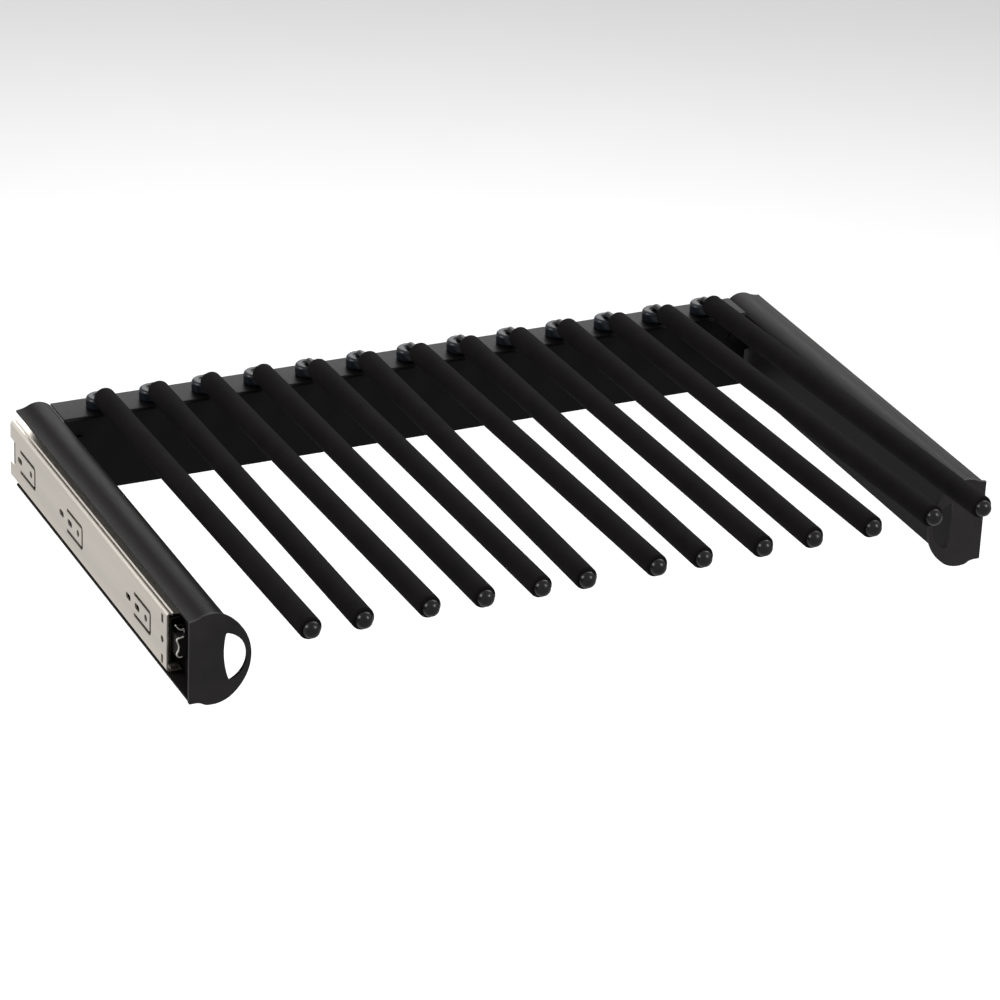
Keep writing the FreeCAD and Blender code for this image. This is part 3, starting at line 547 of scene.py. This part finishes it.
def tube(path, side, radii, steps):
    """Vertices of a round wire along a path in one plane; side is that plane's normal.

    Ring k is its path point plus its radius times cos t of side and sin t of the line's own
    upward normal.
    """
    ahead = np.gradient(path, axis=0)
    ahead /= np.linalg.norm(ahead, axis=1)[:, None]
    up = np.cross(side, ahead)
    angles = 2 * np.pi * np.arange(steps) / steps
    cosines, sines = np.cos(angles)[None, :, None], np.sin(angles)[None, :, None]
    ring = cosines * side + sines * up[:, None, :]
    return (path[:, None, :] + radii[:, None, None] * ring).reshape(-1, 3)


class RACK_OT_arms(bpy.types.Operator):
    """Sleeves, balls and wires of the swivelling arms"""
    bl_idname = "rack.arms"
    bl_label = "Arms"

    def execute(self, context):
        sizes = context.scene.rack_sizes
        for joint in ARMS:
            number, corner, along, length = arm_frame(joint, sizes)
            rear = corner[1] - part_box(f"arm_sleeve_{number}")[1].y
            profile = sleeve_profile(rear, length - sizes.ball_seat, sizes.wire / 2,
                                     sizes.sleeve / 2, sizes.sleeve_round)
            vertices, rings = turned(profile, SLEEVE_SIDES)
            add_mesh(f"sleeve_{number}", on_axis(vertices, corner, along), ring_faces(rings, True),
                     joint["child"], finish("rubber_sleeve"), [f"arm_sleeve_{number}"],
                     "sleeve_rubber")
            profile = ball_profile(length, sizes.ball / 2, sizes.ball_seat)
            vertices, rings = turned(profile, BALL_SIDES)
            add_mesh(f"ball_{number}", on_axis(vertices, corner, along), ring_faces(rings, False),
                     joint["child"], finish("ball_plastic"), [f"arm_ball_{number}"], "ball_black")
            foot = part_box(f"arm_wire_{number}")[0].z
            path, radii, side = wire_path(corner, along, sizes, foot, length)
            add_mesh(f"wire_{number}", tube(path, side, radii, WIRE_SIDES),
                     tube_faces(len(path), WIRE_SIDES), joint["child"], finish("blackened"),
                     [f"arm_wire_{number}"], "wire_black")
        return {"FINISHED"}


def bush_profile(sizes, root):
    """Closed section of a bush as (height over the flange, radius), from its lower end at root."""
    foot, foot_top = sizes.bush_foot / 2, sizes.bush_foot_height
    head, top = sizes.bush_head / 2, sizes.bush_head_top
    rounding, edge = sizes.bush_round, sizes.bush_edge
    spigot, bore = sizes.spigot / 2, sizes.wire / 2 + sizes.bush_play
    sink = sizes.bush_sink / 2
    return outline([
        (root, bore), (root, spigot), (0, spigot), (0, foot), (foot_top, foot),
        (foot_top, head - edge), ((foot_top + edge, head), edge, RIGHT, 4),
        (top - rounding, head), ((top, head - rounding), rounding, RIGHT, 10),
        (top, bore + sink + edge), ((top - edge, bore + sink), edge, RIGHT, 3),
        (top - SINK_DEPTH * sink, bore)])


class RACK_OT_bushes(bpy.types.Operator):
    """Domed bushes that the arms swivel in"""
    bl_idname = "rack.bushes"
    bl_label = "Bushes"

    def execute(self, context):
        sizes = context.scene.rack_sizes
        low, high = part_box("swivel_bushes")
        flange = high.z - sizes.bush_head_top
        shape, rings = turned(bush_profile(sizes, low.z - flange), BUSH_SIDES)
        upright = shape[:, [1, 2, 0]]
        parts = [(np.array([*joint["pos_m"][:2], flange]) + upright, ring_faces(rings, True))
                 for joint in ARMS]
        add_mesh("bushes", *join_parts(parts), "rack", finish("bush_plastic"), ["swivel_bushes"],
                 "bush_black")
        return {"FINISHED"}


# rails, caps and plate

def across(side, inward):
    """X of a place so far inward from one side of the opening."""
    return side * (HALF_WIDTH - inward)


def along_y(side):
    """Map a section in (inward, height) to X and Z, pushed along Y."""
    def place(flat, depth):
        return np.stack([across(side, flat[:, 0]), np.full(len(flat), depth), flat[:, 1]], axis=1)
    return place


def along_x(flat, depth):
    """Map a section in (Y, Z), pushed along X."""
    return np.stack([np.full(len(flat), depth), flat[:, 0], flat[:, 1]], axis=1)


def rail_section(sizes, bottom, width):
    """The rail's section: rim with its ogee crown, and the closed chamber behind the slide."""
    wall, lip, seat, waist = sizes.rail_wall, sizes.rail_lip, sizes.slide_depth, sizes.rail_waist
    inset, corner = sizes.rail_inset, sizes.rail_corner
    shoulder = lip - sizes.shoulder_drop
    under = shoulder - sizes.crown_lip
    crest = (sizes.hump_inset, lip + sizes.hump_rise)
    rim = outline([
        (inset, bottom), (waist - corner, bottom), ((waist, bottom + corner), corner, LEFT, 6),
        (waist, under), (width, under), (width, shoulder), (crest, sizes.hump_radius, LEFT, 24),
        ((inset, lip), sizes.hollow_radius, RIGHT, 10), (inset, lip - wall), (seat, lip - wall),
        (seat, bottom + wall), (inset, bottom + wall)])
    chamber = np.array([(seat + wall, bottom + wall), (waist - wall, bottom + wall),
                        (waist - wall, lip - wall), (seat + wall, lip - wall)])
    return [rim, chamber]


class RACK_OT_rails(bpy.types.Operator):
    """Extruded side rails"""
    bl_idname = "rack.rails"
    bl_label = "Rails"

    def execute(self, context):
        sizes = context.scene.rack_sizes
        for name, side in SIDES.items():
            low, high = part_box(f"side_rail_{name}")
            section = rail_section(sizes, low.z, HALF_WIDTH - min(abs(low.x), abs(high.x)))
            vertices, faces = extruded(section, low.y, high.y, along_y(side))
            rail = add_mesh(f"rail_{name}", vertices, faces, "rack", finish("anodised"),
                            [f"side_rail_{name}"], "rail_black")
            soften(rail, sizes.rail_edge, CUT_SEGMENTS)
        return {"FINISHED"}


# rim of the cap's face as (inward, height) from its foot, in millimetres: a small round at the
# foot, the waist that swings down, the lobe, the hump of the crown and the hollow beside it
CAP_RIM = (
    (0, 0.8), ((0.8, 0), 0.8, LEFT, 3), (5, 0),
    ((10, -1.5), 9.1, RIGHT, 5), ((15, -3), 9.1, LEFT, 5), ((30, 0.9), 22.7, LEFT, 14),
    ((25.3, 63.7), 37.4, LEFT, 60), ((9, 64.9), 17, LEFT, 24), ((0, 62.3), 22, RIGHT, 10))
# its finger hole, which ends where it starts: two arcs, and a small round at each tip
FINGER_HOLE = (
    (30.39, 13.2), ((27.85, 49.47), 19.43, LEFT, 40), ((26.33, 48.56), 1.2, LEFT, 6),
    ((28.76, 13.89), 64.3, LEFT, 24), ((30.39, 13.2), 1.2, LEFT, 6))


class RACK_OT_caps(bpy.types.Operator):
    """End caps with their finger holes"""
    bl_idname = "rack.caps"
    bl_label = "End caps"

    def execute(self, context):
        sizes = context.scene.rack_sizes
        for name, side in SIDES.items():
            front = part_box(f"end_cap_{name}")[0].y
            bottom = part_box(f"side_rail_{name}")[0].z
            loops = [loop * MM + [0, bottom]
                     for loop in (outline(CAP_RIM), outline(FINGER_HOLE)[:-1])]
            vertices, faces = extruded(loops, front, front + sizes.cap, along_y(side))
            cap = add_mesh(f"cap_{name}", vertices, faces, "rack", finish("cap_plastic"),
                           [f"end_cap_{name}"], "cap_black")
            soften(cap, sizes.cap_edge, CAP_SEGMENTS)
        return {"FINISHED"}


class RACK_OT_plate(bpy.types.Operator):
    """Folded back plate"""
    bl_idname = "rack.plate"
    bl_label = "Back plate"

    def execute(self, context):
        sizes = context.scene.rack_sizes
        low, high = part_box("back_plate")
        sheet, bend = sizes.sheet, sizes.sheet_bend
        section = outline([
            (low.y, low.z), (low.y, high.z - bend), ((low.y + bend, high.z), bend, RIGHT, 8),
            (high.y, high.z), (high.y, high.z - sheet), (low.y + bend, high.z - sheet),
            ((low.y + sheet, high.z - bend), bend - sheet, LEFT, 5), (low.y + sheet, low.z)])
        vertices, faces = extruded([section], low.x, high.x, along_x)
        plate = add_mesh("plate", vertices, faces, "rack", finish("powder"), ["back_plate"],
                         "plate_black")
        soften(plate, sizes.sheet_edge, CUT_SEGMENTS)
        return {"FINISHED"}


# latch springs

# middle lines of the springs in millimetres: inward from the buffer's outer face, and over the
# buffer's foot, the slide's middle or the buffer's top
CLIP_LINE = (
    (4.4, "top", -0.5), (2.0, "top", -1.0), (0.0, "top", -1.7), (-0.3, "top", -3.2),
    (0.6, "top", -5.5), (1.2, "middle", 0.0), (0.9, "foot", 5.2), (-0.2, "foot", 3.0),
    (0.4, "foot", 0.9), (2.0, "foot", 0.1), (3.6, "foot", 0.3))
HOOK_LINE = (
    (0.3, "top", 6.5), (1.6, "top", 4.6), (3.2, "top", 3.0), (5.3, "top", 2.1),
    (6.3, "top", 2.4), (6.8, "top", 0.3))
# each spring's line, its place behind the buffer's front and its width, in millimetres
SPRINGS = ((CLIP_LINE, -0.2, 1.0), (HOOK_LINE, 4.5, 1.4))
# steps in each span of a spring's line
SPAN_STEPS = 6


def ribbon(path, width, thickness):
    """Vertices and faces of a thin strip along a path, with its width along Y.

    Each point (inward, Y, height) of the path gets four corners: half the thickness to either
    side along the line's normal, and half the width to either side along Y.
    """
    run = np.gradient(path, axis=0)[:, [0, 2]]
    run /= np.linalg.norm(run, axis=1)[:, None]
    normal = np.stack([run[:, 1], np.zeros(len(run)), -run[:, 0]], axis=1) * thickness / 2
    wide = np.array([0, width / 2, 0])
    corners = np.stack([path + normal - wide, path + normal + wide,
                        path - normal + wide, path - normal - wide], axis=1)
    return corners.reshape(-1, 3), tube_faces(len(path), 4)


def smooth_line(points, share):
    """Points of a flowing line through the given ones, with share steps in each span.

    Each span is a cubic whose slope at a point is half of the step between its two neighbours.
    """
    points = np.asarray(points, float)
    slopes = np.gradient(points, axis=0)
    t = np.linspace(0, 1, share, endpoint=False)[None, :, None]
    start, end = points[:-1, None], points[1:, None]
    curve = ((2 * t ** 3 - 3 * t ** 2 + 1) * start + (t ** 3 - 2 * t ** 2 + t) * slopes[:-1, None]
             + (3 * t ** 2 - 2 * t ** 3) * end + (t ** 3 - t ** 2) * slopes[1:, None])
    return np.concatenate([curve.reshape(-1, points.shape[1]), points[-1:]])


class RACK_OT_latches(bpy.types.Operator):
    """Spring strips that hold the buffers in the slides, pale as a painted highlight"""
    bl_idname = "rack.latches"
    bl_label = "Latch springs"

    def execute(self, context):
        sizes = context.scene.rack_sizes
        low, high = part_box("slide_buffers")
        outer = HALF_WIDTH - high.x
        levels = {"foot": low.z / MM, "middle": 0.0, "top": high.z / MM}
        for name, side in SIDES.items():
            parts = []
            for points, back, width in SPRINGS:
                points = [(inward, levels[level] + above) for inward, level, above in points]
                line = smooth_line(points, SPAN_STEPS) * MM
                path = np.stack([outer + line[:, 0], np.full(len(line), low.y + back * MM),
                                 line[:, 1]], axis=1)
                strip, faces = ribbon(path, width * MM, sizes.spring)
                strip[:, 0] = across(side, strip[:, 0])
                parts.append((strip, faces))
            add_mesh(f"latch_{name}", *join_parts(parts), "rack", finish("spring"), (),
                     "cage_steel")
        return {"FINISHED"}


# slides and fasteners, which keep their CAD shapes

class RACK_OT_hardware(bpy.types.Operator):
    """Finishes of the slides, cages, brackets, screws and buffers"""
    bl_idname = "rack.hardware"
    bl_label = "Slides and fasteners"

    def execute(self, context):
        for name in SIDES:
            paint(f"cabinet_member_{name}", "zinc")
            for piece in ("middle_member", "rack_member", "outer_cage", "inner_cage"):
                # painted shade: the zinc inside the slides gets the darker copy of the zinc colour
                paint(f"{piece}_{name}", "greased")
        for node, coat in (("corner_brackets", "powder"), ("plate_screws", "powder"),
                           ("slide_screws", "steel"), ("slide_buffers", "cap_plastic"),
                           ("leg_washers", "steel")):
            paint(node, coat)
        return {"FINISHED"}


# stage

# place and aim of the camera, in metres and degrees: the photograph's own view
CAMERA_PLACE = (-1.2774, -2.5118, 1.4653)
CAMERA_AZIMUTH, CAMERA_ELEVATION, CAMERA_ROLL = -25.844, 26.633, 2.515
# width of the camera's sensor in millimetres
SENSOR_WIDTH = 36.0
# half the width of the square floor, in metres
FLOOR_HALF = 12.0
# soft boxes: name, direction from the rack, width and height in metres, share of the power
SOFT_BOXES = (("soft_box_left", (-0.81, 0.24, 0.53), (0.9, 0.9), 1.0),
              ("soft_box_right", (0.46, -0.585, 0.68), (0.9, 0.9), 1.0),
              ("backdrop_light", (0.41, 0.79, 0.456), (2.4, 1.4), 0.9))


def camera_turn(azimuth, elevation, roll):
    """Rotation of a camera that looks back along azimuth and elevation, rolled about its axis."""
    a, e, r = (math.radians(angle) for angle in (azimuth, elevation, roll))
    back = Vector((math.sin(a) * math.cos(e), -math.cos(a) * math.cos(e), math.sin(e)))
    right = (-back).cross(Vector((0, 0, 1))).normalized()
    up = right.cross(-back)
    rolled = math.cos(r) * right + math.sin(r) * up
    upright = math.cos(r) * up - math.sin(r) * right
    return Matrix((rolled, upright, back)).transposed()


def add_soft_box(name, place, aim, size, power):
    """A large rectangular light that faces a point."""
    light = bpy.data.lights.new(name, "AREA")
    light.shape = "RECTANGLE"
    light.size, light.size_y = size
    light.energy = power
    lamp = bpy.data.objects.new(name, light)
    lamp.location = place
    lamp.rotation_euler = (Vector(aim) - Vector(place)).to_track_quat("-Z", "Y").to_euler()
    bpy.context.scene.collection.objects.link(lamp)


class RACK_OT_stage(bpy.types.Operator):
    """Camera, soft boxes and a pale floor"""
    bl_idname = "rack.stage"
    bl_label = "Stage"

    def execute(self, context):
        stage, scene = context.scene.rack_stage, context.scene
        camera = bpy.data.cameras.new("camera")
        camera.sensor_width = SENSOR_WIDTH
        camera.lens = stage.focal_length
        viewer = bpy.data.objects.new("camera", camera)
        viewer.matrix_world = Matrix.Translation(CAMERA_PLACE) @ camera_turn(
            CAMERA_AZIMUTH, CAMERA_ELEVATION, CAMERA_ROLL).to_4x4()
        scene.collection.objects.link(viewer)
        scene.camera = viewer
        scene.view_settings.view_transform = "Standard"
        centre = (CAD_LOW + CAD_HIGH) / 2
        for name, aim, size, share in SOFT_BOXES:
            place = centre + stage.distance * Vector(aim).normalized()
            add_soft_box(name, place, centre, size, share * stage.power)
        world = bpy.data.worlds.new("studio")
        world.use_nodes = True
        background = world.node_tree.nodes["Background"]
        background.inputs["Color"].default_value = (1, 1, 1, 1)
        background.inputs["Strength"].default_value = stage.sky
        scene.world = world
        level = CAD_LOW.z - stage.floor_gap
        corners = [(x * FLOOR_HALF, y * FLOOR_HALF, level)
                   for x, y in ((-1, -1), (1, -1), (1, 1), (-1, 1))]
        mesh = bpy.data.meshes.new("floor")
        mesh.from_pydata(corners, [], [(0, 1, 2, 3)])
        floor = bpy.data.objects.new("floor", mesh)
        scene.collection.objects.link(floor)
        # seamless paper: white and matt
        mesh.materials.append(speckled("Pale studio paper", scene.rack_colours.floor, size=4.0,
                                       roughness=0.9, relief=0.01, variation=0.01))
        floor.visible_glossy = False
        return {"FINISHED"}


# the operators in the order in which main() runs them
OPERATORS = (RACK_OT_stage, RACK_OT_finishes, RACK_OT_arms, RACK_OT_bushes, RACK_OT_rails,
             RACK_OT_caps, RACK_OT_plate, RACK_OT_latches, RACK_OT_hardware)


class RACK_PT_panel(bpy.types.Panel):
    """Panel that lists the operators and their settings"""
    bl_idname = "RACK_PT_panel"
    bl_label = "Trouser rack"
    bl_space_type = "VIEW_3D"
    bl_region_type = "UI"
    bl_category = "Trouser rack"

    def draw(self, context):
        scene = context.scene
        for operator in OPERATORS:
            self.layout.operator(operator.bl_idname)
        for group in (scene.rack_sizes, scene.rack_colours, scene.rack_stage):
            for key in group.__annotations__:
                self.layout.prop(group, key)


CLASSES = (RackSizes, RackColours, RackStage) + OPERATORS + (RACK_PT_panel,)


def register():
    """Register the classes and hang the property groups on the scene."""
    for item in CLASSES:
        bpy.utils.register_class(item)
    bpy.types.Scene.rack_sizes = bpy.props.PointerProperty(type=RackSizes)
    bpy.types.Scene.rack_colours = bpy.props.PointerProperty(type=RackColours)
    bpy.types.Scene.rack_stage = bpy.props.PointerProperty(type=RackStage)


def unregister():
    """Take the property groups and the classes away again."""
    del bpy.types.Scene.rack_stage, bpy.types.Scene.rack_colours, bpy.types.Scene.rack_sizes
    for item in reversed(CLASSES):
        bpy.utils.unregister_class(item)


def main():
    """Register the add-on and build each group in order."""
    register()
    for operator in OPERATORS:
        group, name = operator.bl_idname.split(".")
        getattr(getattr(bpy.ops, group), name)()


if __name__ == "__main__":
    main()
